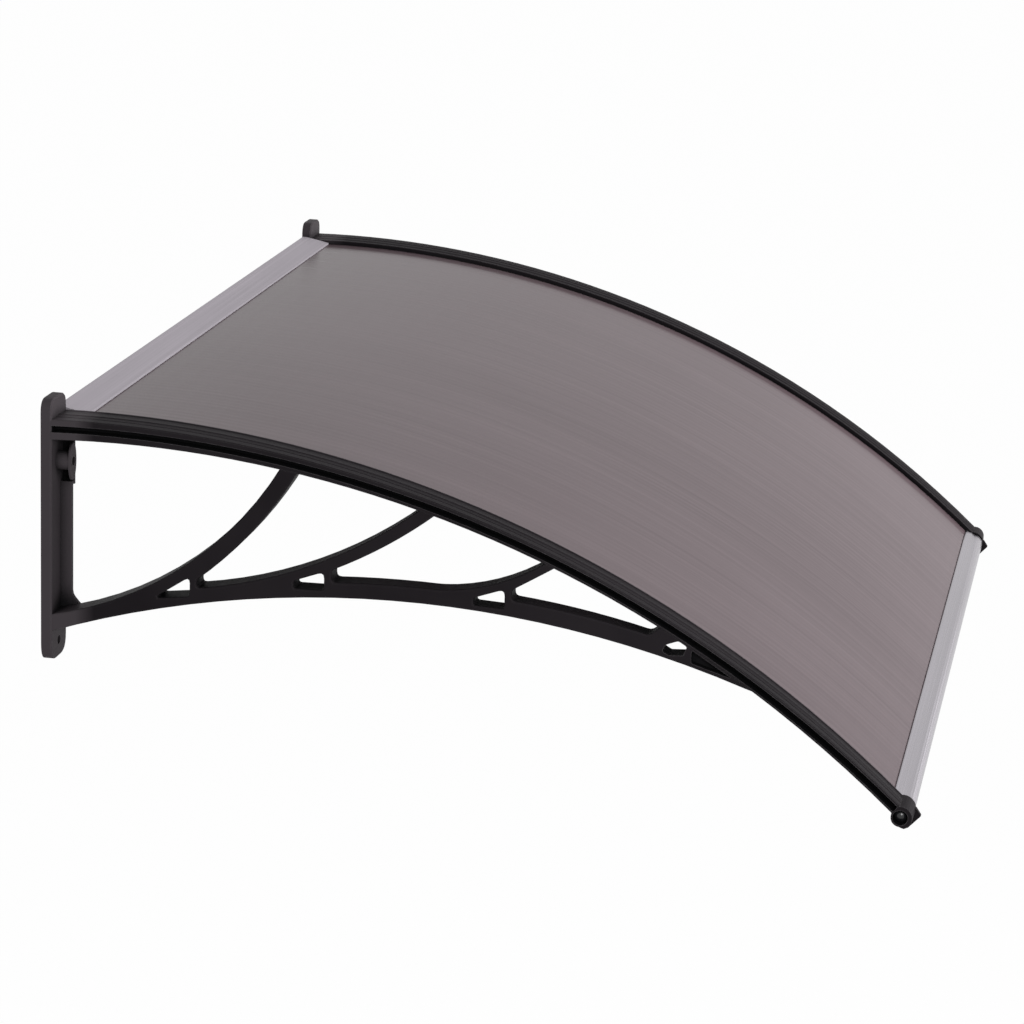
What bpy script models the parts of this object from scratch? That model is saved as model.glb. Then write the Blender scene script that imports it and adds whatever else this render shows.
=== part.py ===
# Door canopy: two moulded truss brackets carry a curved twin-wall sheet,
# whose rear and front edges are clamped in aluminium profiles.
# Frame: +X along the canopy's width, the wall is the plane y = 0,
# the canopy reaches out towards -Y, +Z is up.
# The origin is the centre of the rear profile's back face.
# Side views are drawn as (u, z), where u is the distance out from the wall.

import math

import bmesh
import bpy
from mathutils import Matrix, Vector
from mathutils.geometry import tessellate_polygon

# Driving dimensions, in metres

HALF_WIDTH = 0.500            # half the overall width, over both brackets
ARCH_U = 0.0357               # centre of the arm's upper curve
ARCH_Z = -1.1126
ARCH_RADIUS = 1.1228

PLATE_WIDTH = 0.044
PLATE_THICK = 0.010
PLATE_TOP = 0.0275
PLATE_BOTTOM = -0.2185
PLATE_TOP_RADIUS = 0.012
PLATE_BOTTOM_RADIUS = 0.017
PLATE_EDGE_ROUNDING = 0.0012

ARM_WIDTH_AT_WALL = 0.044
ARM_WIDTH_TAPER = 0.0175      # width lost per metre out from the wall
ARM_STATIONS = 36
SHEET_FLANGE_THICK = 0.0044   # the arm's upper flange, over the sheet's slot
SLOT_HEIGHT = 0.0050
LOWER_FLANGE_THICK = 0.0018
LOWER_FLANGE_SETBACK = 0.004
OUTER_FLANGE_AT_WALL = 0.0057 # the upper flange on the outer side
OUTER_FLANGE_AT_FRONT = 0.0024
OUTER_FLANGE_TAPER = 0.0070   # thickness lost per metre out from the wall
RECESS_HEIGHT = 0.0060
RECESS_FLOOR_THICK = 0.0016
ARM_HEIGHT_AT_FRONT = 0.0104
ARM_HEIGHT_SWELL = 0.0084     # extra height at the wall
ARM_SWELL_LENGTH = 0.62
ARM_SWELL_POWER = 1.7
LIP_THICK = 0.0035
WEB_OUTER = 0.013             # the arm's web, measured in from the outer side
WEB_INNER = 0.017

TRUSS_OUTER = 0.001
TRUSS_INNER_AT_WALL = 0.030
TRUSS_INNER_TAPER = 0.014
TRUSS_ROUNDING = 0.0020
TRUSS_ROOT_COVER = 0.0001
STRUT_U = 0.332               # the lower strut's curve
STRUT_Z = -1.0932
STRUT_RADIUS = 0.960
STRUT_THICK = 0.0146
STRUT_END_U = 0.648
PANEL_WEB_OUTER = 0.009       # the thin panel where strut and arm meet
PANEL_WEB_INNER = 0.016

POST_OUTER = 0.028
POST_INNER = 0.032
POST_REACH = 0.0205
POST_FLARE = 0.008
POST_FOOT_Z = -0.1735

SLEEVE_OFFSET = 0.022         # the fixing sleeve under the arm
SLEEVE_Z = -0.0323
SLEEVE_RADIUS = 0.00875
SLEEVE_REACH = 0.024
SLEEVE_FLANGE_THICK = 0.0022
SLEEVE_EDGE_ROUNDING = 0.0007
SLEEVE_FLANGE_HALF_WIDTH = 0.0092
SLEEVE_FLANGE_HALF_HEIGHT = 0.0178
NICHE_BOTTOM = -0.0535        # the niche round the sleeve
NICHE_SHELF_THICK = 0.003
NICHE_BACK_OUTER = 0.036
NICHE_BACK_INNER = 0.039
FIXING_BORE = 0.0042
LOWER_FIXING_Z = -0.2025

BOLT_U = 0.7904               # the front bolt's axis
BOLT_Z = -0.2920
BOLT_RADIUS = 0.0025
BOLT_HEAD_RADIUS = 0.0040
BOLT_HEAD_HEIGHT = 0.0022
BOLT_ENGAGEMENT = 0.022
HUB_LENGTH = 0.030
HUB_SMALL_RADIUS = 0.0084
HUB_LARGE_RADIUS = 0.0107
HUB_LARGE_FACING = 60.0       # degrees up from the arm's direction
HUB_LARGE_HALF_WIDTH = 82.0
HUB_BLEND_WIDTH = 30.0
HUB_DRAFT = 1.10              # the hub's inner end is larger than its face
HUB_FACE = 0.009
CAP_RADIUS = 0.0064
CAP_HEIGHT = 0.0050
CAP_WALL = 0.0012
CAP_POCKET_RADIUS = 0.0069
SPUR_OUTER = 0.024
SPUR_INNER = 0.028

GAP = 0.0003                  # between pieces that touch
WELD = 0.00003
SLOT_FLOOR = SHEET_FLANGE_THICK + SLOT_HEIGHT
SHEET_TOP = SHEET_FLANGE_THICK + GAP
SHEET_THICK = SLOT_HEIGHT - 2 * GAP
SHEET_REAR_U = 0.0106
SHEET_FRONT_BACK_FROM_BOLT = 0.0085
SHEET_STATIONS = 40

PROFILE_WALL = 0.0016
REAR_HEIGHT = 0.025
REAR_DEPTH = 0.032
REAR_LOWER_JAW = 0.026
FRONT_NOSE_RADIUS = 0.0100
FRONT_NOSE_OFFSET = 0.0012    # the nose's centre, out from the channel's
FRONT_JAW_REACH = 0.0152
CHANNEL_CLEARANCE = 0.0003

BLACK = (0.020, 0.019, 0.020, 1.0)
GLOSS_BLACK = (0.008, 0.008, 0.009, 1.0)
SHEET_GREY = (0.245, 0.205, 0.215, 1.0)
ALUMINIUM = (0.62, 0.60, 0.64, 1.0)
STEEL = (0.55, 0.55, 0.56, 1.0)


def clear_scene():
    for item in list(bpy.data.objects):
        bpy.data.objects.remove(item, do_unlink=True)


def material(name, colour, roughness, metallic):
    made = bpy.data.materials.new(name)
    made.use_nodes = True
    shader = made.node_tree.nodes["Principled BSDF"]
    shader.inputs["Base Color"].default_value = colour
    shader.inputs["Roughness"].default_value = roughness
    shader.inputs["Metallic"].default_value = metallic
    return made


# Curves in the side view

def circle_height(u, centre_u, centre_z, radius):
    return centre_z + math.sqrt(radius ** 2 - (u - centre_u) ** 2)


def arch_point(u, depth):
    """The point at a depth below the arm's upper curve, square to it at u."""
    top_z = circle_height(u, ARCH_U, ARCH_Z, ARCH_RADIUS)
    out = Vector((u - ARCH_U, top_z - ARCH_Z)).normalized()
    centre = Vector((ARCH_U, ARCH_Z))
    return centre + out * (ARCH_RADIUS - depth)


def strut_line(u_from, u_to, steps):
    """The lower strut's underside."""
    stations = [u_from + (u_to - u_from) * step / steps for step in range(steps + 1)]
    return [Vector((u, circle_height(u, STRUT_U, STRUT_Z, STRUT_RADIUS))) for u in stations]


def arc_through(start, middle, end, steps):
    """Points along the circle through three points of the side view."""
    a, b, c = Vector(start), Vector(middle), Vector(end)
    ab, ac = b - a, c - a
    twice_area = 2 * (ab.x * ac.y - ab.y * ac.x)
    if abs(twice_area) < 1e-9:
        return [a.lerp(c, step / steps) for step in range(steps + 1)]
    centre = a + Vector((
        ac.y * ab.length_squared - ab.y * ac.length_squared,
        ab.x * ac.length_squared - ac.x * ab.length_squared,
    )) / twice_area
    radius = (a - centre).length
    first = math.atan2(a.y - centre.y, a.x - centre.x)
    last = math.atan2(c.y - centre.y, c.x - centre.x)
    turn = (last - first + math.pi) % (2 * math.pi) - math.pi
    points = []
    for step in range(steps + 1):
        angle = first + turn * step / steps
        points.append(centre + radius * Vector((math.cos(angle), math.sin(angle))))
    return points


def cut_back(side, start_cut, end_cut):
    """Shortens a line of points by a length at each end."""
    points = [p.copy() for p in side]
    for cut, reverse in ((start_cut, False), (end_cut, True)):
        if reverse:
            points.reverse()
        left = cut
        while len(points) > 2 and (points[1] - points[0]).length <= left:
            left -= (points[1] - points[0]).length
            points.pop(0)
        span = (points[1] - points[0]).length
        points[0] = points[0].lerp(points[1], min(left / span, 0.9))
        if reverse:
            points.reverse()
    return points


def rounded_loop(sides, setbacks, steps=3):
    """Joins sides end to end, rounding corner i, where side i starts."""
    count = len(sides)
    trimmed = []
    for index, side in enumerate(sides):
        trimmed.append(cut_back(side, setbacks[index], setbacks[(index + 1) % count]))
    loop = []
    for index, side in enumerate(trimmed):
        before = trimmed[index - 1][-1]
        corner = sides[index][0]
        after = side[0]
        for step in range(1, steps):
            t = step / steps
            loop.append((1 - t) ** 2 * before + 2 * t * (1 - t) * corner + t ** 2 * after)
        loop.extend(side)
    return [here for before, here in zip(loop[-1:] + loop[:-1], loop) if (here - before).length > 0.0002]


def straight(start, end):
    return [Vector(start), Vector(end)]


def polygon_sides(corners):
    pairs = zip(corners, corners[1:] + corners[:1])
    return [straight(a, b) for a, b in pairs]


def signed_area(loop):
    total = 0.0
    for a, b in zip(loop, loop[1:] + loop[:1]):
        total += a.x * b.y - b.x * a.y
    return total / 2


def grown(loop, distance):
    """Moves a loop's points square to it, outwards where distance is positive."""
    sense = 1.0 if signed_area(loop) > 0 else -1.0
    moved = []
    for before, here, after in zip(loop[-1:] + loop[:-1], loop, loop[1:] + loop[:1]):
        normal_in = Vector((here.y - before.y, before.x - here.x)).normalized()
        normal_out = Vector((after.y - here.y, here.x - after.x)).normalized()
        normal = (normal_in + normal_out).normalized()
        stretch = 1.0 / max(normal.dot(normal_in), 0.6)
        moved.append(here + normal * sense * distance * stretch)
    return moved


# Meshes

def finished(bm, name):
    bmesh.ops.recalc_face_normals(bm, faces=bm.faces)
    mesh = bpy.data.meshes.new(name)
    bm.to_mesh(mesh)
    bm.free()
    made = bpy.data.objects.new(name, mesh)
    bpy.context.scene.collection.objects.link(made)
    return made


def ring_walls(bm, rings):
    for lower, upper in zip(rings, rings[1:]):
        for i in range(len(lower)):
            j = (i + 1) % len(lower)
            bm.faces.new((lower[i], lower[j], upper[j], upper[i]))


def plate_with_holes(name, outline, holes, levels):
    """A plate in the side view with holes right through and rounded rims.

    levels lists (x as a function of u, inset of the material there).
    """
    bm = bmesh.new()
    loops = [outline] + holes
    end_rings = [[], []]
    for loop_index, loop in enumerate(loops):
        rings = []
        for x_at, inset in levels:
            moved = grown(loop, -inset if loop_index == 0 else inset)
            rings.append([bm.verts.new((x_at(p.x), -p.x, p.y)) for p in moved])
        ring_walls(bm, rings)
        end_rings[0].append(rings[0])
        end_rings[1].append(rings[-1])
    for rings in end_rings:
        flat = [v for ring in rings for v in ring]
        sides = [[Vector((v.co.y, v.co.z, 0.0)) for v in ring] for ring in rings]
        for a, b, c in tessellate_polygon(sides):
            bm.faces.new((flat[a], flat[b], flat[c]))
    return finished(bm, name)


def side_prism(name, outline, x_from, x_to, scale_at_end=1.0, scale_about=(0.0, 0.0)):
    """A side-view outline pushed along X, its far end scaled if asked."""
    bm = bmesh.new()
    fixed = Vector(scale_about)
    rings = []
    for x, scale in ((x_from, 1.0), (x_to, scale_at_end)):
        moved = [fixed + (p - fixed) * scale for p in outline]
        rings.append([bm.verts.new((x, -p.x, p.y)) for p in moved])
    ring_walls(bm, rings)
    bm.faces.new(rings[0])
    bm.faces.new(rings[1])
    return finished(bm, name)


def front_prism(name, outline, y_from, y_to, edge_rounding):
    """An (x, z) outline pushed out along -Y, with its outer rim eased."""
    bm = bmesh.new()
    rings = []
    for y, inset in ((y_from, 0.0), (y_to + edge_rounding, 0.0), (y_to, edge_rounding)):
        rings.append([bm.verts.new((p.x, y, p.y)) for p in grown(outline, -inset)])
    ring_walls(bm, rings)
    bm.faces.new(rings[0])
    bm.faces.new(rings[-1])
    return finished(bm, name)


def turned(name, profile, axis_point, axis, sides):
    """Turns (distance along the axis, radius) points into a closed round body.

    The profile starts and ends on the axis.
    """
    bm = bmesh.new()
    along = Vector(axis).normalized()
    side = along.cross(Vector((0.0, 0.0, 1.0)))
    if side.length < 0.1:
        side = Vector((1.0, 0.0, 0.0))
    side.normalize()
    other = along.cross(side)
    base = Vector(axis_point)
    rings = []
    for distance, radius in profile:
        centre = base + along * distance
        if radius == 0.0:
            rings.append([bm.verts.new(centre)])
            continue
        ring = []
        for step in range(sides):
            angle = 2 * math.pi * step / sides
            ring.append(bm.verts.new(centre + radius * (math.cos(angle) * side + math.sin(angle) * other)))
        rings.append(ring)
    for lower, upper in zip(rings, rings[1:]):
        for i in range(sides):
            j = (i + 1) % sides
            if len(lower) == 1:
                bm.faces.new((lower[0], upper[j], upper[i]))
            elif len(upper) == 1:
                bm.faces.new((lower[i], lower[j], upper[0]))
            else:
                bm.faces.new((lower[i], lower[j], upper[j], upper[i]))
    return finished(bm, name)


def rod(name, axis_point, axis, length, radius, sides):
    profile = [(0.0, 0.0), (0.0, radius), (length, radius), (length, 0.0)]
    return turned(name, profile, axis_point, axis, sides)


def combined(base, pieces, operation):
    """Adds or cuts each piece in turn, keeps the result and drops the pieces."""
    for piece in pieces:
        piece.hide_render = True
        piece.display_type = "WIRE"
        boolean = base.modifiers.new(operation.lower(), "BOOLEAN")
        boolean.operation = operation
        boolean.solver = "EXACT"
        boolean.object = piece
        bpy.context.view_layer.update()
        seen = base.evaluated_get(bpy.context.evaluated_depsgraph_get())
        mesh = bpy.data.meshes.new_from_object(seen)
        base.modifiers.clear()
        bm = bmesh.new()
        bm.from_mesh(mesh)
        bmesh.ops.remove_doubles(bm, verts=bm.verts, dist=WELD)
        bmesh.ops.dissolve_degenerate(bm, edges=bm.edges, dist=WELD)
        bm.to_mesh(mesh)
        bm.free()
        base.data = mesh
        bpy.data.objects.remove(piece, do_unlink=True)
    return base


def shade(item, surface, smooth_angle=30.0):
    item.data.materials.clear()
    item.data.materials.append(surface)
    item.data.shade_smooth()
    item.data.set_sharp_from_angle(angle=math.radians(smooth_angle))


def mirrored(item, name):
    mesh = item.data.copy()
    mesh.transform(Matrix.Scale(-1.0, 4, (1.0, 0.0, 0.0)))
    mesh.flip_normals()
    made = bpy.data.objects.new(name, mesh)
    bpy.context.scene.collection.objects.link(made)
    return made


# The bracket: one moulding, drawn for the left side and mirrored

def left_x(offset):
    """World x at an offset in from the left bracket's outer side."""
    return -HALF_WIDTH + offset


def arm_width(u):
    return ARM_WIDTH_AT_WALL - ARM_WIDTH_TAPER * u


def arm_height(u):
    swell = max(0.0, 1.0 - u / ARM_SWELL_LENGTH)
    return ARM_HEIGHT_AT_FRONT + ARM_HEIGHT_SWELL * swell ** ARM_SWELL_POWER


def outer_flange(u):
    """Thickness of the upper flange on the outer side, over the recess."""
    return max(OUTER_FLANGE_AT_FRONT, OUTER_FLANGE_AT_WALL - OUTER_FLANGE_TAPER * u)


def recess_floor(u):
    return outer_flange(u) + RECESS_HEIGHT


def arm_underside(u):
    """Depth of the arm's flat underside, beside the outer lip."""
    return max(SLOT_FLOOR + LOWER_FLANGE_THICK, recess_floor(u) + RECESS_FLOOR_THICK)


def crown_points(width):
    """The top from the outer side to the inner: shoulder, groove, ridge, dip, edge."""
    groove = width * 0.29
    ridge = width * 0.50
    return [
        (0.0, 0.0022), (0.0006, 0.0007), (0.0020, 0.0),
        (groove - 0.0011, 0.0), (groove, 0.0008), (groove + 0.0011, 0.0),
        (ridge - 0.0016, -0.0002), (ridge, -0.0008), (ridge + 0.0016, -0.0002),
        (width * 0.70, 0.0), (width * 0.76, 0.0007), (width * 0.90, 0.0007),
        (width - 0.0022, 0.0), (width - 0.0005, 0.0), (width, 0.0006),
    ]


def arm_section(u):
    """(offset, depth) points round the arm: slot inside, recess and lip outside."""
    width = arm_width(u)
    height = arm_height(u)
    underside = arm_underside(u)
    lower_width = width - LOWER_FLANGE_SETBACK
    slot = [(width, SHEET_FLANGE_THICK), (WEB_INNER, SHEET_FLANGE_THICK)]
    slot += [(WEB_INNER, SLOT_FLOOR), (lower_width, SLOT_FLOOR)]
    below = [(lower_width, underside), (LIP_THICK, underside), (LIP_THICK, height)]
    lip = [(0.0008, height), (0.0, height - 0.0008), (0.0, recess_floor(u))]
    recess = [(WEB_OUTER, recess_floor(u)), (WEB_OUTER, outer_flange(u)), (0.0, outer_flange(u))]
    return crown_points(width) + slot + below + lip + recess


def make_arm():
    bm = bmesh.new()
    rings = []
    start_u = PLATE_THICK * 0.6
    for station in range(ARM_STATIONS + 1):
        u = start_u + (BOLT_U - start_u) * station / ARM_STATIONS
        ring = []
        for offset, depth in arm_section(u):
            point = arch_point(u, depth)
            ring.append(bm.verts.new((left_x(offset), -point.x, point.y)))
        rings.append(ring)
    ring_walls(bm, rings)
    bm.faces.new(rings[0])
    bm.faces.new(rings[-1])
    return finished(bm, "arm")


def branch_root(u):
    """Where a branch ends, inside the arm's lower flange."""
    depth = max(SLOT_FLOOR, recess_floor(u)) + TRUSS_ROOT_COVER
    return (u, circle_height(u, ARCH_U, ARCH_Z, ARCH_RADIUS - depth))


def branch_root_line(u_from, u_to, steps):
    stations = [u_from + (u_to - u_from) * step / steps for step in range(steps + 1)]
    return [Vector(branch_root(u)) for u in stations]


def truss_outline():
    """The strut and its three branches, running into the arm and the plate."""
    root = PLATE_THICK * 0.5
    strut_root = (root, circle_height(root, STRUT_U, STRUT_Z, STRUT_RADIUS))
    strut_end = (STRUT_END_U, circle_height(STRUT_END_U, STRUT_U, STRUT_Z, STRUT_RADIUS))
    nose = STRUT_END_U + 0.010
    floor = STRUT_Z + STRUT_RADIUS + STRUT_THICK
    sides = [
        (strut_line(root, STRUT_END_U, 24), 0.0),
        (straight(strut_end, branch_root(nose)), 0.0),
        (branch_root_line(nose, 0.5698, 5), 0.0),
        # the fourth bay's end and floor
        (straight(branch_root(0.5698), (0.5605, -0.1445)), 0.0),
        (arc_through((0.5605, -0.1445), (0.4980, -0.1315), (0.4355, -0.1235), 7), 0.0045),
        (straight((0.4355, -0.1235), (0.4355, -0.1140)), 0.0040),
        # the third branch
        (arc_through((0.4355, -0.1140), (0.4552, -0.1020), branch_root(0.4750), 5), 0.0030),
        (branch_root_line(0.4750, 0.4660, 1), 0.0),
        (arc_through(branch_root(0.4660), (0.4151, -0.1110), (0.3695, -0.1192), 8), 0.0),
        (arc_through((0.3695, -0.1192), (0.3240, floor), (0.2710, -0.1206), 5), 0.0060),
        (straight((0.2710, -0.1206), (0.2710, -0.1095)), 0.0045),
        # the second branch
        (arc_through((0.2710, -0.1095), (0.3175, -0.0845), branch_root(0.3663), 8), 0.0030),
        (branch_root_line(0.3663, 0.3523, 1), 0.0),
        (arc_through(branch_root(0.3523), (0.2538, -0.1057), (0.1460, -0.1366), 12), 0.0),
        (straight((0.1460, -0.1366), (0.1460, -0.1290)), 0.0040),
        # the first branch
        (arc_through((0.1460, -0.1290), (0.1912, -0.0868), branch_root(0.2400), 9), 0.0025),
        (branch_root_line(0.2400, 0.2238, 1), 0.0),
        (arc_through(branch_root(0.2238), (0.1371, -0.1145), (root, POST_FOOT_Z), 13), 0.0),
        (straight((root, POST_FOOT_Z), strut_root), 0.0),
    ]
    return rounded_loop([side for side, _ in sides], [setback for _, setback in sides])


def corner_hole_loops():
    """The small cornered holes beside each short post."""
    outlines = [
        ([(0.1060, -0.1492), (0.1394, -0.1450), (0.1394, -0.1268)], (0.0080, 0.0030, 0.0060)),
        ([(0.2360, -0.1222), (0.2360, -0.1290), (0.2640, -0.1285), (0.2640, -0.1118)],
         (0.0025, 0.0025, 0.0030, 0.0060)),
        ([(0.4010, -0.1240), (0.4010, -0.1305), (0.4290, -0.1318), (0.4290, -0.1140)],
         (0.0025, 0.0025, 0.0030, 0.0060)),
    ]
    return [rounded_loop(polygon_sides([Vector(c) for c in corners]), setbacks)
            for corners, setbacks in outlines]


def make_truss():
    def inner(u):
        return TRUSS_INNER_AT_WALL - TRUSS_INNER_TAPER * u

    half = TRUSS_ROUNDING * 0.3
    levels = [
        (lambda u: left_x(TRUSS_OUTER), TRUSS_ROUNDING * 0.75),
        (lambda u: left_x(TRUSS_OUTER + half), TRUSS_ROUNDING * 0.25),
        (lambda u: left_x(TRUSS_OUTER + TRUSS_ROUNDING), 0.0),
        (lambda u: left_x(inner(u) - TRUSS_ROUNDING), 0.0),
        (lambda u: left_x(inner(u)), TRUSS_ROUNDING * 0.6),
    ]
    return plate_with_holes("truss", truss_outline(), corner_hole_loops(), levels)


def front_cuts():
    """The last hole, and cuts that leave a thin panel where the strut ends."""
    hole_corners = [
        (0.5722, -0.1579), (0.5781, -0.1613), (0.5916, -0.1604), (0.5923, -0.1571),
        (0.5944, -0.1522), (0.5865, -0.1474), (0.5750, -0.1518),
    ]
    hole_setbacks = (0.0018, 0.0015, 0.0012, 0.0012, 0.0020, 0.0020, 0.0020)
    hole = rounded_loop(polygon_sides([Vector(c) for c in hole_corners]), hole_setbacks)
    panel_corners = [(0.5985, -0.1547), (0.5985, -0.1669), (0.6362, -0.1782)]
    panel_setbacks = (0.002, 0.002, 0.004)
    panel = rounded_loop(polygon_sides([Vector(c) for c in panel_corners]), panel_setbacks)
    outside = left_x(-0.001)
    inside = left_x(TRUSS_INNER_AT_WALL)
    return [
        side_prism("last_hole", hole, outside, inside),
        side_prism("outer_pocket", panel, outside, left_x(PANEL_WEB_OUTER)),
        side_prism("inner_pocket", panel, left_x(PANEL_WEB_INNER), inside),
    ]


def make_wall_plate():
    left, right = left_x(0.0), left_x(PLATE_WIDTH)
    corners = [(left, PLATE_BOTTOM), (right, PLATE_BOTTOM), (right, PLATE_TOP), (left, PLATE_TOP)]
    radii = (PLATE_BOTTOM_RADIUS, PLATE_BOTTOM_RADIUS, PLATE_TOP_RADIUS, PLATE_TOP_RADIUS)
    loop = rounded_loop(polygon_sides([Vector(c) for c in corners]), radii, steps=6)
    return front_prism("wall_plate", loop, 0.0, -PLATE_THICK, PLATE_EDGE_ROUNDING)


def make_post():
    """The upright web between niche and strut, flared at its foot."""
    root = PLATE_THICK * 0.8
    top = NICHE_BOTTOM
    flare = POST_REACH + POST_FLARE
    corners = [
        (root, POST_FOOT_Z - 0.004), (flare, POST_FOOT_Z - 0.004), (flare, POST_FOOT_Z + 0.004),
        (POST_REACH, POST_FOOT_Z + 0.013), (POST_REACH, top), (root, top),
    ]
    setbacks = (0.0005, 0.0005, 0.001, 0.004, 0.001, 0.0005)
    loop = rounded_loop(polygon_sides([Vector(c) for c in corners]), setbacks, steps=2)
    return side_prism("post", loop, left_x(POST_OUTER), left_x(POST_INNER))


def side_box(name, u_range, z_range, offset_range):
    (u_low, u_high), (z_low, z_high) = u_range, z_range
    corners = [(u_low, z_low), (u_high, z_low), (u_high, z_high), (u_low, z_high)]
    x_from, x_to = left_x(offset_range[0]), left_x(offset_range[1])
    return side_prism(name, [Vector(c) for c in corners], x_from, x_to)


def make_niche():
    """The back and the shelf of the niche round the sleeve, under the arm."""
    roof = arch_point(POST_REACH, arm_underside(POST_REACH) - 0.0005).y
    shelf_low = NICHE_BOTTOM - NICHE_SHELF_THICK
    shelf = side_box("niche_shelf", (0.0070, POST_REACH - 0.0004), (shelf_low, NICHE_BOTTOM - 0.0005),
                     (POST_INNER - 0.0010, NICHE_BACK_OUTER + 0.0010))
    back = side_box("niche_back", (0.0075, POST_REACH - 0.0002), (shelf_low - 0.0010, roof),
                    (NICHE_BACK_OUTER, NICHE_BACK_INNER))
    return [shelf, back]


def make_sleeve():
    """The sleeve for the upper wall fixing, with an oval flange at its end."""
    out_of_wall = (0.0, -1.0, 0.0)
    root = PLATE_THICK * 0.5
    start = (left_x(SLEEVE_OFFSET), -root, SLEEVE_Z)
    tube = rod("sleeve", start, out_of_wall, SLEEVE_REACH - root - 0.0005, SLEEVE_RADIUS, 24)
    oval = []
    for step in range(28):
        angle = 2 * math.pi * step / 28
        across = SLEEVE_FLANGE_HALF_WIDTH * math.cos(angle)
        upward = SLEEVE_FLANGE_HALF_HEIGHT * math.sin(angle)
        oval.append(Vector((left_x(SLEEVE_OFFSET) + across, SLEEVE_Z + upward)))
    flange_back = -SLEEVE_REACH + SLEEVE_FLANGE_THICK
    return [tube, front_prism("sleeve_flange", oval, flange_back, -SLEEVE_REACH, SLEEVE_EDGE_ROUNDING)]


def bolt_frame():
    """The bolt axis point, the arm's direction there and the upward normal."""
    point = Vector((BOLT_U, BOLT_Z))
    out = (point - Vector((ARCH_U, ARCH_Z))).normalized()
    along = Vector((out.y, -out.x))
    return point, along, out


def hub_outline(steps=28):
    """Round, smaller below and behind, larger over the top and the front."""
    point, along, out = bolt_frame()
    loop = []
    for step in range(steps):
        angle = 2 * math.pi * step / steps
        away = abs((math.degrees(angle) - HUB_LARGE_FACING + 180.0) % 360.0 - 180.0)
        blend = (HUB_LARGE_HALF_WIDTH + HUB_BLEND_WIDTH - away) / HUB_BLEND_WIDTH
        blend = max(0.0, min(1.0, blend))
        blend = blend * blend * (3 - 2 * blend)
        radius = HUB_SMALL_RADIUS + (HUB_LARGE_RADIUS - HUB_SMALL_RADIUS) * blend
        loop.append(point + radius * (math.cos(angle) * along + math.sin(angle) * out))
    return loop


def make_hub():
    bolt_at = (BOLT_U, BOLT_Z)
    return side_prism("hub", hub_outline(), left_x(0.0), left_x(HUB_LENGTH), HUB_DRAFT, bolt_at)


def make_spur():
    """The flat end wall behind the hub, with one corner standing proud."""
    point, along, out = bolt_frame()
    shape = [(0.0085, -0.0082), (0.0157, -0.0094), (0.0157, 0.0081), (0.0071, 0.0101), (0.0, 0.0)]
    corners = [point + s * along + n * out for s, n in shape]
    loop = rounded_loop(polygon_sides(corners), (0.001, 0.0012, 0.0010, 0.001, 0.001), steps=2)
    return side_prism("spur", loop, left_x(SPUR_OUTER), left_x(SPUR_INNER))


def slot_end_cutter():
    """Runs the sheet's slot on into the hub, as far as the sheet reaches."""
    point, along, out = bolt_frame()
    top = ARCH_RADIUS - (point - Vector((ARCH_U, ARCH_Z))).length - SHEET_FLANGE_THICK
    near = -SHEET_FRONT_BACK_FROM_BOLT + GAP
    corners = [(-0.020, top), (near, top), (near, top - SLOT_HEIGHT), (-0.020, top - SLOT_HEIGHT)]
    loop = [point + s * along + n * out for s, n in corners]
    return side_prism("slot_end", loop, left_x(WEB_INNER), left_x(HUB_LENGTH + 0.002))


def make_bracket_left(surface):
    x_axis = (1.0, 0.0, 0.0)
    out_of_wall = (0.0, -1.0, 0.0)
    additions = [make_truss(), make_wall_plate(), make_post(), make_hub(), make_spur()]
    additions += make_niche() + make_sleeve()
    bolt_at = (left_x(-0.001), -BOLT_U, BOLT_Z)
    fixing_x = left_x(SLEEVE_OFFSET)
    cuts = front_cuts() + [
        rod("sleeve_bore", (fixing_x, 0.001, SLEEVE_Z), out_of_wall, 0.030, FIXING_BORE, 20),
        rod("lower_bore", (fixing_x, 0.001, LOWER_FIXING_Z), out_of_wall, 0.020, FIXING_BORE, 20),
        rod("cap_pocket", bolt_at, x_axis, HUB_FACE + 0.001, CAP_POCKET_RADIUS, 28),
        rod("bolt_bore", bolt_at, x_axis, HUB_LENGTH + 0.005, BOLT_RADIUS + GAP, 16),
        slot_end_cutter(),
    ]
    bracket = combined(make_arm(), additions, "UNION")
    bracket = combined(bracket, cuts, "DIFFERENCE")
    bracket.name = "bracket_left"
    shade(bracket, surface)
    return bracket


# The sheet and the two profiles

def make_sheet(surface):
    """The curved sheet, its long edges reaching into both arms' slots."""
    half = HALF_WIDTH - WEB_INNER - GAP
    point, along, out = bolt_frame()
    centre = Vector((ARCH_U, ARCH_Z))
    bolt_radius = (point - centre).length
    first = math.asin((SHEET_REAR_U - ARCH_U) / ARCH_RADIUS)
    last = math.atan2(point.x - ARCH_U, point.y - ARCH_Z) - SHEET_FRONT_BACK_FROM_BOLT / bolt_radius
    bm = bmesh.new()
    rings = []
    for station in range(SHEET_STATIONS + 1):
        angle = first + (last - first) * station / SHEET_STATIONS
        direction = Vector((math.sin(angle), math.cos(angle)))
        upper = centre + direction * (ARCH_RADIUS - SHEET_TOP)
        lower = centre + direction * (ARCH_RADIUS - SHEET_TOP - SHEET_THICK)
        corners = ((-half, upper), (half, upper), (half, lower), (-half, lower))
        rings.append([bm.verts.new((x, -p.x, p.y)) for x, p in corners])
    ring_walls(bm, rings)
    bm.faces.new(rings[0])
    bm.faces.new(rings[-1])
    sheet = finished(bm, "canopy_sheet")
    shade(sheet, surface)
    return sheet


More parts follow.
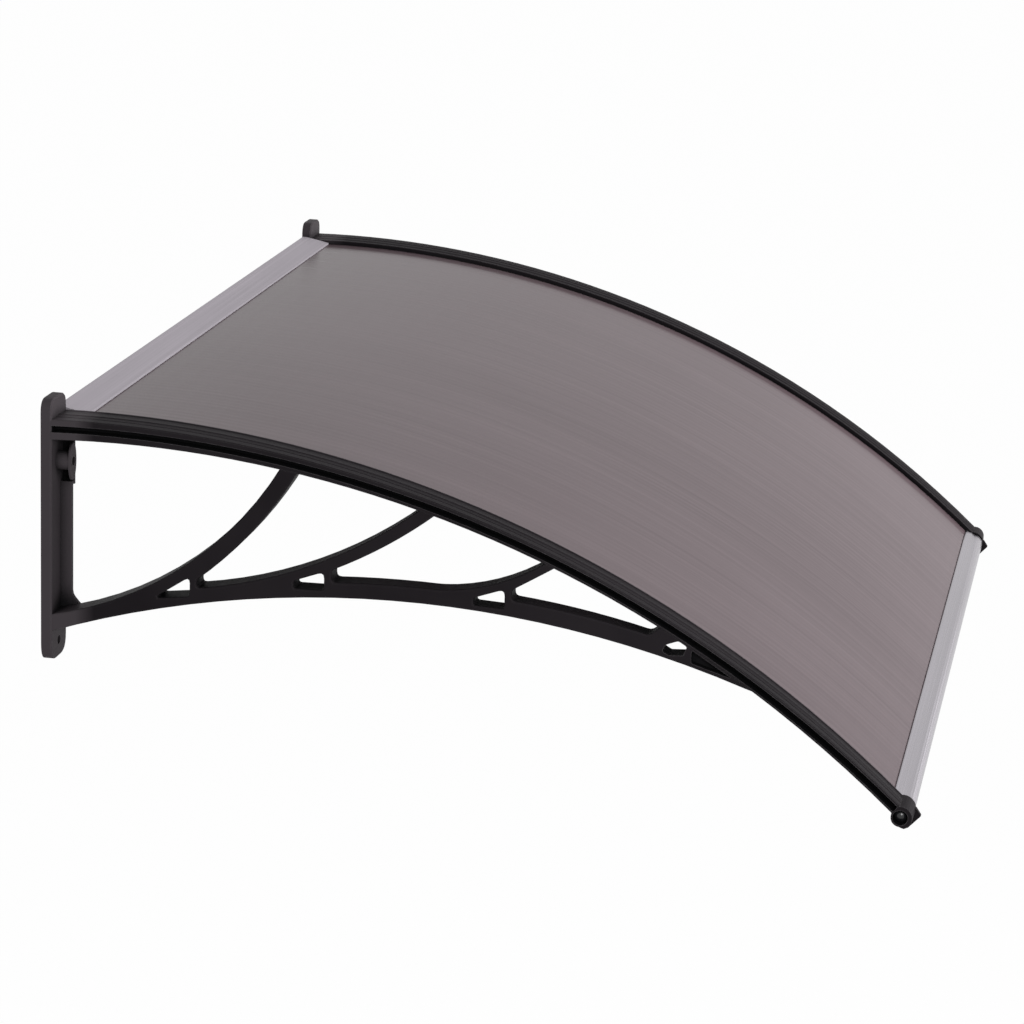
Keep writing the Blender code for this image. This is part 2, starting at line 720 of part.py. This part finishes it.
def make_rear_profile(surface):
    """A back wall with two jaws that hold the sheet's rear edge."""
    half = HALF_WIDTH - ARM_WIDTH_AT_WALL - GAP
    top = REAR_HEIGHT / 2
    jaw_low = arch_point(REAR_LOWER_JAW, SHEET_TOP + SHEET_THICK).y - GAP
    slot_back = SHEET_REAR_U - GAP * 2
    slot_high = arch_point(ARCH_U, SHEET_TOP).y + GAP
    outline = [Vector(corner) for corner in (
        (0.0, -top),
        (0.0, top - 0.001),
        (0.001, top),
        (0.005, top),
        (REAR_DEPTH - 0.0010, slot_high + PROFILE_WALL),
        (REAR_DEPTH, slot_high + PROFILE_WALL - 0.0008),
        (REAR_DEPTH, slot_high),
        (slot_back, slot_high),
        (slot_back, jaw_low),
        (REAR_LOWER_JAW, jaw_low),
        (REAR_LOWER_JAW, jaw_low - PROFILE_WALL),
        (PROFILE_WALL + 0.0015, jaw_low - PROFILE_WALL),
        (PROFILE_WALL, jaw_low - PROFILE_WALL - 0.0015),
        (PROFILE_WALL, -top + PROFILE_WALL),
        (0.0050, -top + PROFILE_WALL),
        (0.0050, -top),
    )]
    profile = side_prism("rear_profile", outline, -half, half)
    shade(profile, surface)
    return profile


def make_front_profile(surface):
    """Two jaws on the sheet's front edge, and a round nose with its channel."""
    half = HALF_WIDTH - arm_width(BOLT_U - FRONT_JAW_REACH) - GAP
    point, along, out = bolt_frame()
    centre_depth = ARCH_RADIUS - (point - Vector((ARCH_U, ARCH_Z))).length
    sheet_top = centre_depth - SHEET_TOP
    sheet_low = sheet_top - SHEET_THICK
    jaw_top = sheet_top + GAP + PROFILE_WALL
    jaw_low = sheet_low - GAP - PROFILE_WALL
    slot_end = -SHEET_FRONT_BACK_FROM_BOLT + GAP * 2
    nose = FRONT_NOSE_RADIUS
    top_angle = math.radians(124.0)
    low_angle = math.radians(-128.0)
    local = [
        (-FRONT_JAW_REACH, sheet_top + GAP),
        (-FRONT_JAW_REACH, jaw_top - 0.0006),
        (-FRONT_JAW_REACH + 0.0006, jaw_top),
    ]
    for step in range(17):
        angle = top_angle + (low_angle - top_angle) * step / 16
        local.append((FRONT_NOSE_OFFSET + nose * math.cos(angle), nose * math.sin(angle)))
    local += [
        (-FRONT_JAW_REACH + 0.003, jaw_low),
        (-FRONT_JAW_REACH + 0.003, sheet_low - GAP),
        (slot_end, sheet_low - GAP),
        (slot_end, sheet_top + GAP),
    ]
    outline = [point + s * along + n * out for s, n in local]
    profile = side_prism("front_profile", outline, -half, half)
    bore = rod("channel", (-half - 0.001, -BOLT_U, BOLT_Z), (1.0, 0.0, 0.0), 2 * half + 0.002,
               BOLT_RADIUS + CHANNEL_CLEARANCE, 14)
    profile = combined(profile, [bore], "DIFFERENCE")
    shade(profile, surface)
    return profile


# Fasteners and their caps

def make_front_bolt(surface):
    """A round-headed bolt through the hub into the front profile's channel."""
    head = BOLT_HEAD_HEIGHT
    start = HUB_FACE - GAP - head
    length = HUB_LENGTH - HUB_FACE + GAP + BOLT_ENGAGEMENT
    profile = [
        (0.0, 0.0), (0.0, BOLT_HEAD_RADIUS * 0.7), (head * 0.3, BOLT_HEAD_RADIUS),
        (head, BOLT_HEAD_RADIUS), (head, BOLT_RADIUS),
        (head + length - 0.001, BOLT_RADIUS), (head + length, BOLT_RADIUS * 0.6), (head + length, 0.0),
    ]
    bolt = turned("front_bolt_left", profile, (left_x(start), -BOLT_U, BOLT_Z), (1.0, 0.0, 0.0), 16)
    shade(bolt, surface)
    return bolt


def make_front_cap(surface):
    """A domed cap over the bolt head, hollow on its inner side."""
    base = HUB_FACE - GAP
    inner_radius = CAP_RADIUS - CAP_WALL
    inner_depth = CAP_HEIGHT - CAP_WALL
    profile = []
    for step in range(7):
        angle = math.radians(90.0) * step / 6
        profile.append((CAP_HEIGHT * (1 - math.cos(angle)), CAP_RADIUS * math.sin(angle)))
    for step in range(5):
        angle = math.radians(90.0) * (4 - step) / 4
        rise = inner_depth * (1 - math.cos(angle)) + CAP_WALL
        profile.append((rise, inner_radius * math.sin(angle)))
    cap = turned("front_cap_left", profile, (left_x(base - CAP_HEIGHT), -BOLT_U, BOLT_Z), (1.0, 0.0, 0.0), 24)
    shade(cap, surface, 40.0)
    return cap


def build():
    clear_scene()
    moulding = material("bracket_moulding", BLACK, 0.42, 0.0)
    gloss = material("cap_moulding", GLOSS_BLACK, 0.12, 0.0)
    sheet_surface = material("sheet_polycarbonate", SHEET_GREY, 0.35, 0.0)
    rear_metal = material("rear_profile_metal", ALUMINIUM, 0.45, 1.0)
    front_metal = material("front_profile_metal", ALUMINIUM, 0.40, 1.0)
    bolt_metal = material("bolt_steel", STEEL, 0.30, 1.0)

    mirrored(make_bracket_left(moulding), "bracket_right")
    make_sheet(sheet_surface)
    make_rear_profile(rear_metal)
    make_front_profile(front_metal)
    mirrored(make_front_bolt(bolt_metal), "front_bolt_right")
    mirrored(make_front_cap(gloss), "front_cap_right")


build()
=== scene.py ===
import math

import bpy
from mathutils import Matrix, Vector


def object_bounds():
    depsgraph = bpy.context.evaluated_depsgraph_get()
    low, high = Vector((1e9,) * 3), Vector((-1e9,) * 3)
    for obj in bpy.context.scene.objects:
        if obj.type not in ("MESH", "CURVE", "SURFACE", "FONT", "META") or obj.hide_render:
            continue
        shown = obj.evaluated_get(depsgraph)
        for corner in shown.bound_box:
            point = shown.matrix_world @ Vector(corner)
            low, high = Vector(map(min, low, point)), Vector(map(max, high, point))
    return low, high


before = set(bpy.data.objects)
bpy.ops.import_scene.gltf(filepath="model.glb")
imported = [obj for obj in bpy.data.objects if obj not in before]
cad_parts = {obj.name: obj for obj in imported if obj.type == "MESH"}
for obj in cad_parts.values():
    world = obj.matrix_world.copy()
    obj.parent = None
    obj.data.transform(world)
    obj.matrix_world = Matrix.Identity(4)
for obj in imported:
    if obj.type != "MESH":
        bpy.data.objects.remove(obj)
cad_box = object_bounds()

# Driving values: metres, degrees, watts and plain shares

CAMERA_PLACE = (-3.4716, -0.9829, 0.7489)
CAMERA_YAW = 10.47            # turned from +X towards +Y
CAMERA_PITCH = 14.66          # looking down
CAMERA_ROLL = -1.87
CAMERA_LENS_MM = 124.58
SENSOR_MM = 36.0
CAMERA_FAR = 300.0

FLOOR_BELOW = 1.9             # the canopy hangs well above the ground
FLOOR_HALF = 60.0

FLUTE_PITCH = 0.01145         # between the faint lines drawn for the sheet's flutes
WAVE_RADIANS = 20.0           # how far a wave texture turns in one unit at scale 1
POST_EDGE = -0.032            # the post's front edge along Y: behind it the plastic gets painted light, paler towards the wall plate
PAINTED_LIGHT_FADE = 0.018             # and that painted light fades out over this much in front of it
EDGE_WEAR_AND_HIGHLIGHT_REACH = 0.0011            # how far from an edge the plastic shows wear and a painted highlight
PAINTED_SHADE_REACH = 0.022               # painted shade: surfaces nearer than this darken each other's colour
MILLIMETRE = 0.001

AMBIENT = 0.25
FLOOR_GREY = 0.85
FLOOR_GLOW_SHARE = 0.985      # of what the camera sees of the floor
SUBJECT = (0.2, -0.6, -0.2)
KEY_LAMP = {"place": (1.3, -3.4, 1.1), "aim": SUBJECT, "size": 2.0, "power": 155.0}
SIDE_LAMP = {"place": (-3.2, -1.6, 0.9), "aim": (-0.3, -0.3, -0.1), "size": 1.2, "power": 85.0}

# Colours, linear, and the two metals' roughness

PLASTIC_DARK = (0.0100, 0.0084, 0.0098, 1.0)
PLASTIC_LIGHT = (0.0160, 0.0137, 0.0156, 1.0)
# painted light: the paler tone painted on the wall plate
PLASTIC_PAINTED_LIGHT_AT_WALL = (0.056, 0.0485, 0.0535, 1.0)
# painted shade in recesses and inner corners
PLASTIC_PAINTED_SHADE = (0.005, 0.005, 0.0055, 1.0)
# pale edge colour: wear and a painted highlight
PLASTIC_WEAR_AND_HIGHLIGHT = (0.085, 0.079, 0.083, 1.0)
CAP_BLACK = (0.006, 0.006, 0.007, 1.0)
CAP_DUST = (0.03, 0.03, 0.03, 1.0)
SHEET_DARK = (0.084, 0.060, 0.067, 1.0)
SHEET_LIGHT = (0.117, 0.088, 0.096, 1.0)
SHEET_FLUTE = (0.058, 0.038, 0.045, 1.0)
SHEET_CLOUD = (0.134, 0.102, 0.112, 1.0)
REAR_ALUMINIUM = (0.305, 0.283, 0.309)
REAR_ROUGHNESS = 0.78
FRONT_ALUMINIUM = (0.32, 0.30, 0.33)
FRONT_ROUGHNESS = 0.27
STEEL_DARK = (0.50, 0.50, 0.50, 1.0)
STEEL_LIGHT = (0.62, 0.61, 0.58, 1.0)


# Shader building

class Shader:
    """A material under construction: makes nodes and joins them in one call."""

    def __init__(self, name):
        self.material = bpy.data.materials.new(name)
        self.material.use_nodes = True
        self.nodes = self.material.node_tree.nodes
        self.links = self.material.node_tree.links
        self.surface = self.nodes["Principled BSDF"]
        self.place = self.add("ShaderNodeTexCoord").outputs["Object"]

    def add(self, kind, settings=None, **inputs):
        node = self.nodes.new(kind)
        for key, value in (settings or {}).items():
            setattr(node, key, value)
        for key, value in inputs.items():
            self.feed(node.inputs[key.replace("_", " ")], value)
        return node

    def feed(self, socket, value):
        if isinstance(value, bpy.types.NodeSocket):
            self.links.new(value, socket)
        else:
            socket.default_value = value

    def stretched(self, scale):
        """Object coordinates multiplied by a scale along each axis."""
        node = self.add("ShaderNodeMapping", Vector=self.place)
        node.inputs["Scale"].default_value = scale
        return node.outputs["Vector"]

    def noise(self, scale, detail=3.0, roughness=0.5, vector=None):
        node = self.add("ShaderNodeTexNoise", Vector=vector or self.place)
        node.inputs["Scale"].default_value = scale
        node.inputs["Detail"].default_value = detail
        node.inputs["Roughness"].default_value = roughness
        return node.outputs["Fac"]

    def ramp(self, value, low, high, from_low=0.0, from_high=1.0):
        node = self.add("ShaderNodeMapRange", Value=value)
        node.inputs["From Min"].default_value = from_low
        node.inputs["From Max"].default_value = from_high
        node.inputs["To Min"].default_value = low
        node.inputs["To Max"].default_value = high
        return node.outputs["Result"]

    def math(self, operation, first, second):
        node = self.add("ShaderNodeMath", {"operation": operation})
        self.feed(node.inputs[0], first)
        self.feed(node.inputs[1], second)
        return node.outputs["Value"]

    def blend(self, factor, first, second):
        node = self.add("ShaderNodeMix", {"data_type": "RGBA"})
        self.feed(node.inputs["Factor"], factor)
        self.feed(node.inputs["A"], first)
        self.feed(node.inputs["B"], second)
        return node.outputs["Result"]

    def edge(self, radius):
        """One on the edges of a solid, fading to zero within the radius."""
        rounded = self.add("ShaderNodeBevel", {"samples": 6}, Radius=radius).outputs["Normal"]
        flat = self.add("ShaderNodeNewGeometry").outputs["Normal"]
        node = self.add("ShaderNodeVectorMath", {"operation": "DOT_PRODUCT"})
        self.feed(node.inputs[0], rounded)
        self.feed(node.inputs[1], flat)
        return self.ramp(node.outputs["Value"], 1.0, 0.0, 0.82, 0.97)

    def bump(self, height, strength, distance):
        node = self.add("ShaderNodeBump", Height=height)
        node.inputs["Strength"].default_value = strength
        node.inputs["Distance"].default_value = distance
        self.links.new(node.outputs["Normal"], self.surface.inputs["Normal"])

    def set(self, **inputs):
        for key, value in inputs.items():
            self.feed(self.surface.inputs[key.replace("_", " ")], value)


def grey(level):
    return (level, level, level, 1.0)


def tinted(colour, factor):
    return [channel * factor for channel in colour] + [1.0]


def moulded_black():
    """Black moulded plastic: fine grain, flow marks, edge wear with a painted highlight, painted shade in
    recesses, painted light on the wall plate.
    """
    shader = Shader("bracket_satin_black")
    flow = shader.noise(14.0, 4.0, 0.6, shader.stretched((1.0, 0.35, 0.35)))
    base = shader.blend(shader.ramp(flow, 0.0, 1.0, 0.35, 0.65), PLASTIC_DARK, PLASTIC_LIGHT)

    # Painted light: the wall plate, behind the post, is painted paler where light falls on it.
    depth = shader.add("ShaderNodeSeparateXYZ", Vector=shader.place).outputs["Y"]
    wall_light_mask = shader.ramp(depth, 0.0, 1.0, POST_EDGE - PAINTED_LIGHT_FADE, POST_EDGE)
    painted_wall_light = shader.math("MULTIPLY", wall_light_mask, shader.ramp(flow, 0.7, 1.0))
    base = shader.blend(painted_wall_light, base, PLASTIC_PAINTED_LIGHT_AT_WALL)

    # Pale edge line: partly wear, partly a painted highlight along the edges.
    scuffs = shader.ramp(shader.noise(160.0, 5.0, 0.65), 0.35, 1.0, 0.35, 0.65)
    edge_wear_and_highlight = shader.math("MULTIPLY", shader.edge(EDGE_WEAR_AND_HIGHLIGHT_REACH), scuffs)
    openness = shader.add("ShaderNodeAmbientOcclusion", {"samples": 8}, Distance=PAINTED_SHADE_REACH).outputs["AO"]
    edge_wear_and_highlight = shader.math("MULTIPLY", edge_wear_and_highlight, shader.ramp(openness, 0.0, 1.0, 0.55, 0.80))
    # Painted shade: ambient occlusion darkens the colour in recesses and inner corners.
    base = shader.blend(shader.ramp(openness, 0.0, 1.0, 0.35, 0.75), PLASTIC_PAINTED_SHADE, base)

    shader.set(
        Base_Color=shader.blend(edge_wear_and_highlight, base, PLASTIC_WEAR_AND_HIGHLIGHT),
        Roughness=shader.ramp(flow, 0.44, 0.58, 0.3, 0.7),
        Specular_IOR_Level=0.02,
    )
    grain = shader.math("MULTIPLY", shader.noise(2200.0, 2.0), 0.8)
    height = shader.math("ADD", grain, shader.math("MULTIPLY", flow, 0.4))
    shader.bump(height, 0.35, 0.2 * MILLIMETRE)
    return shader.material


def gloss_black():
    """The caps' polished dome, with hair scratches and a trace of dust."""
    shader = Shader("cap_gloss_black")
    scratches = shader.noise(900.0, 2.0, 0.5, shader.stretched((1.0, 0.12, 1.0)))
    dust = shader.ramp(shader.noise(300.0, 5.0, 0.7), 0.0, 0.3, 0.55, 0.8)
    shader.set(
        Base_Color=shader.blend(dust, CAP_BLACK, CAP_DUST),
        Roughness=shader.ramp(scratches, 0.16, 0.26, 0.4, 0.7),
    )
    shader.bump(scratches, 0.08, 0.05 * MILLIMETRE)
    return shader.material


def twin_wall_sheet():
    """Brown-grey twin-wall polycarbonate: flutes run from the wall to the front."""
    shader = Shader("sheet_bronze_polycarbonate")
    across = shader.stretched((1.0 / FLUTE_PITCH, 0.0, 0.0))
    wave = shader.add("ShaderNodeTexWave", {"bands_direction": "X", "wave_profile": "SIN"}, Vector=across)
    wave.inputs["Scale"].default_value = math.tau / WAVE_RADIANS
    flutes = wave.outputs["Fac"]
    streaks = shader.noise(1.0, 4.0, 0.6, shader.stretched((95.0, 1.6, 1.6)))
    fine_streaks = shader.noise(1.0, 3.0, 0.5, shader.stretched((420.0, 5.0, 5.0)))
    clouds = shader.ramp(shader.noise(3.2, 2.0, 0.5), 0.0, 0.30, 0.35, 0.7)

    coarse = shader.math("MULTIPLY", streaks, 0.55)
    tone = shader.math("ADD", coarse, shader.math("MULTIPLY", fine_streaks, 0.45))
    colour = shader.blend(shader.ramp(tone, 0.0, 1.0, 0.33, 0.67), SHEET_DARK, SHEET_LIGHT)
    colour = shader.blend(shader.math("MULTIPLY", flutes, 0.16), colour, SHEET_FLUTE)
    shader.set(
        Base_Color=shader.blend(clouds, colour, SHEET_CLOUD),
        Roughness=shader.ramp(streaks, 0.15, 0.22, 0.3, 0.7),
        IOR=1.135,
    )
    ribs = shader.math("MULTIPLY", flutes, 0.55)
    height = shader.math("ADD", ribs, shader.math("MULTIPLY", fine_streaks, 0.35))
    shader.bump(height, 0.22, 0.15 * MILLIMETRE)
    return shader.material


def extruded_aluminium(name, colour, roughness):
    """Mill-finish aluminium with fine lines along the extrusion."""
    shader = Shader(name)
    lines = shader.noise(1.0, 4.0, 0.6, shader.stretched((2.0, 900.0, 900.0)))
    stains = shader.noise(9.0, 4.0, 0.6, shader.stretched((0.3, 1.0, 1.0)))
    drawn = shader.ramp(lines, 0.0, 1.0, 0.35, 0.65)
    base = shader.blend(drawn, tinted(colour, 0.88), tinted(colour, 1.04))
    shader.set(
        Base_Color=shader.blend(shader.ramp(stains, 0.0, 0.35, 0.45, 0.75), base, tinted(colour, 0.78)),
        Metallic=1.0,
        Roughness=shader.ramp(lines, roughness - 0.06, roughness + 0.08, 0.3, 0.7),
    )
    shader.bump(lines, 0.12, 0.08 * MILLIMETRE)
    return shader.material


def plated_steel():
    """The bolts' bright plating, with a fine grain."""
    shader = Shader("bolt_plated_steel")
    grain = shader.noise(1200.0, 3.0)
    shader.set(
        Base_Color=shader.blend(grain, STEEL_DARK, STEEL_LIGHT),
        Metallic=1.0,
        Roughness=shader.ramp(grain, 0.25, 0.4),
    )
    shader.bump(grain, 0.1, 0.05 * MILLIMETRE)
    return shader.material


def dress(node_names, material):
    for name in node_names:
        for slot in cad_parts[name].material_slots:
            slot.material = material


def dress_cad_nodes():
    dress(("bracket_left", "bracket_right"), moulded_black())
    dress(("canopy_sheet",), twin_wall_sheet())
    rear_metal = extruded_aluminium("rear_profile_aluminium", REAR_ALUMINIUM, REAR_ROUGHNESS)
    front_metal = extruded_aluminium("front_profile_aluminium", FRONT_ALUMINIUM, FRONT_ROUGHNESS)
    dress(("rear_profile",), rear_metal)
    dress(("front_profile",), front_metal)
    dress(("front_cap_left", "front_cap_right"), gloss_black())
    dress(("front_bolt_left", "front_bolt_right"), plated_steel())


# Camera, light and floor

def add_camera():
    yaw, pitch, roll = (math.radians(a) for a in (CAMERA_YAW, CAMERA_PITCH, CAMERA_ROLL))
    level = Vector((math.cos(yaw), math.sin(yaw), 0.0))
    forward = math.cos(pitch) * level - Vector((0.0, 0.0, math.sin(pitch)))
    right = forward.cross(Vector((0.0, 0.0, 1.0))).normalized()
    down = forward.cross(right)
    right_rolled = math.cos(roll) * right + math.sin(roll) * down
    down_rolled = -math.sin(roll) * right + math.cos(roll) * down
    data = bpy.data.cameras.new("photo_camera")
    data.lens = CAMERA_LENS_MM
    data.sensor_width = SENSOR_MM
    data.sensor_fit = "HORIZONTAL"
    data.clip_end = CAMERA_FAR
    camera = bpy.data.objects.new("photo_camera", data)
    turn = Matrix((right_rolled, -down_rolled, -forward)).transposed()
    camera.matrix_world = Matrix.Translation(CAMERA_PLACE) @ turn.to_4x4()
    bpy.context.scene.collection.objects.link(camera)
    bpy.context.scene.camera = camera


def area_light(name, place, aim, size, power):
    data = bpy.data.lights.new(name, "AREA")
    data.shape = "DISK"
    data.size = size
    data.energy = power
    lamp = bpy.data.objects.new(name, data)
    lamp.location = place
    direction = Vector(aim) - Vector(place)
    lamp.rotation_euler = direction.to_track_quat("-Z", "Y").to_euler()
    bpy.context.scene.collection.objects.link(lamp)


def camera_sees(tree):
    """One where the camera looks, straight or by way of a reflection."""
    path = tree.nodes.new("ShaderNodeLightPath")
    total = path.outputs["Is Camera Ray"]
    for kind in ("Is Glossy Ray", "Is Transmission Ray"):
        node = tree.nodes.new("ShaderNodeMath")
        node.operation = "MAXIMUM"
        tree.links.new(total, node.inputs[0])
        tree.links.new(path.outputs[kind], node.inputs[1])
        total = node.outputs["Value"]
    return total


def add_world(ambient):
    world = bpy.data.worlds.new("studio")
    world.use_nodes = True
    tree = world.node_tree
    background = tree.nodes["Background"]
    background.inputs["Color"].default_value = grey(1.0)
    level = tree.nodes.new("ShaderNodeMapRange")
    level.inputs["To Min"].default_value = ambient
    level.inputs["To Max"].default_value = 1.0
    tree.links.new(camera_sees(tree), level.inputs["Value"])
    tree.links.new(level.outputs["Result"], background.inputs["Strength"])
    bpy.context.scene.world = world


def add_floor():
    floor_level = cad_box[0][2] - FLOOR_BELOW
    bpy.ops.mesh.primitive_plane_add(size=2 * FLOOR_HALF, location=(0.0, 0.0, floor_level))
    floor = bpy.context.object
    floor.name = "floor"
    material = bpy.data.materials.new("floor_pale")
    material.use_nodes = True
    tree = material.node_tree
    diffuse = tree.nodes["Principled BSDF"]
    diffuse.inputs["Base Color"].default_value = grey(FLOOR_GREY)
    diffuse.inputs["Roughness"].default_value = 0.9
    diffuse.inputs["Specular IOR Level"].default_value = 0.0
    glow = tree.nodes.new("ShaderNodeEmission")
    mix = tree.nodes.new("ShaderNodeMixShader")
    share = tree.nodes.new("ShaderNodeMath")
    share.operation = "MULTIPLY"
    share.inputs[1].default_value = FLOOR_GLOW_SHARE
    tree.links.new(camera_sees(tree), share.inputs[0])
    tree.links.new(share.outputs["Value"], mix.inputs["Fac"])
    tree.links.new(diffuse.outputs["BSDF"], mix.inputs[1])
    tree.links.new(glow.outputs["Emission"], mix.inputs[2])
    tree.links.new(mix.outputs["Shader"], tree.nodes["Material Output"].inputs["Surface"])
    floor.data.materials.append(material)


add_camera()
dress_cad_nodes()
add_world(AMBIENT)
area_light("key", **KEY_LAMP)
area_light("side", **SIDE_LAMP)
add_floor()

bpy.context.scene.view_settings.view_transform = "Standard"
